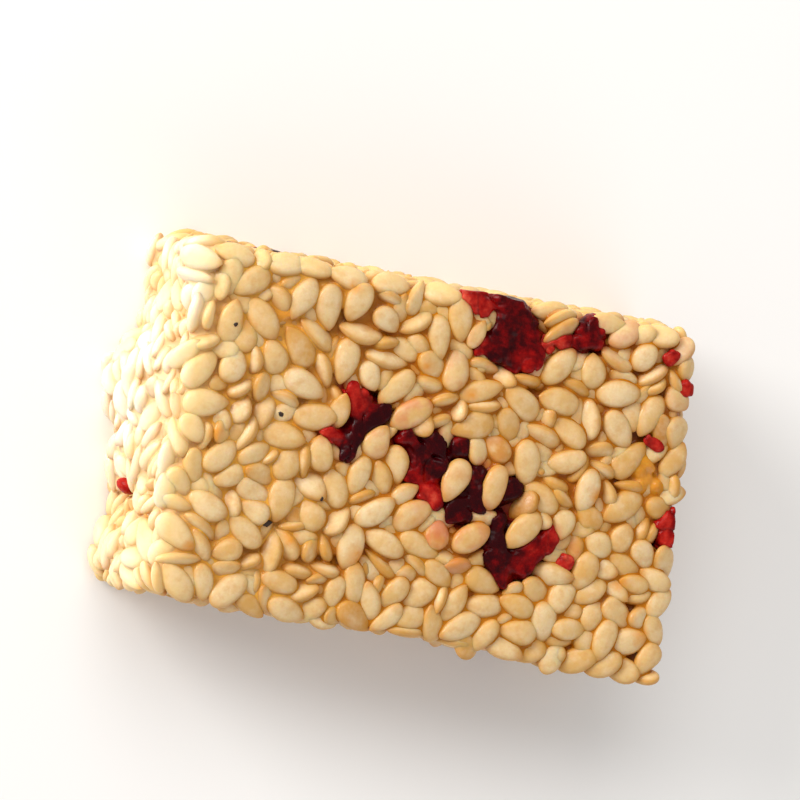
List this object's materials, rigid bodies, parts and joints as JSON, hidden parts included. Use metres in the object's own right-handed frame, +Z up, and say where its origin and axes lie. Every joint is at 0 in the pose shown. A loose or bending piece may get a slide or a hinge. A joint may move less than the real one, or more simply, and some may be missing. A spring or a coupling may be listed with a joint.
{
  "type": "sesame brittle block with cranberry pieces",
  "caption": "Rectangular bite-size block of pressed sesame brittle: hulled seeds bound in amber syrup, with dried cranberry pieces set into it.",
  "frame": {"origin": "centre of the bounding box's bottom, on the surface that the block lies on", "axes": "+Z up out of the broad pressed face that is shown, +X along the block's long cut sides, +Y across it"},
  "size_m": [0.0452, 0.028, 0.0134],
  "materials": {
    "sesame": "hulled sesame seeds, ivory to warm beige, waxy sheen, bound in glossy amber syrup",
    "syrup": "set malt syrup, amber, glossy",
    "cranberry": "dried cranberry, wrinkled, dark maroon with bright red thin edges, glossy"
  },
  "bodies": {
    "root": {"brittle": "sesame", "cranberry_1": "cranberry", "cranberry_2": "cranberry", "cranberry_3": "cranberry", "cranberry_4": "cranberry", "cranberry_5": "cranberry", "cranberry_6": "cranberry", "cranberry_7": "cranberry", "cranberry_8": "cranberry", "cranberry_9": "cranberry", "cranberry_10": "cranberry", "cranberry_11": "cranberry"}
  },
  "joints": []
}
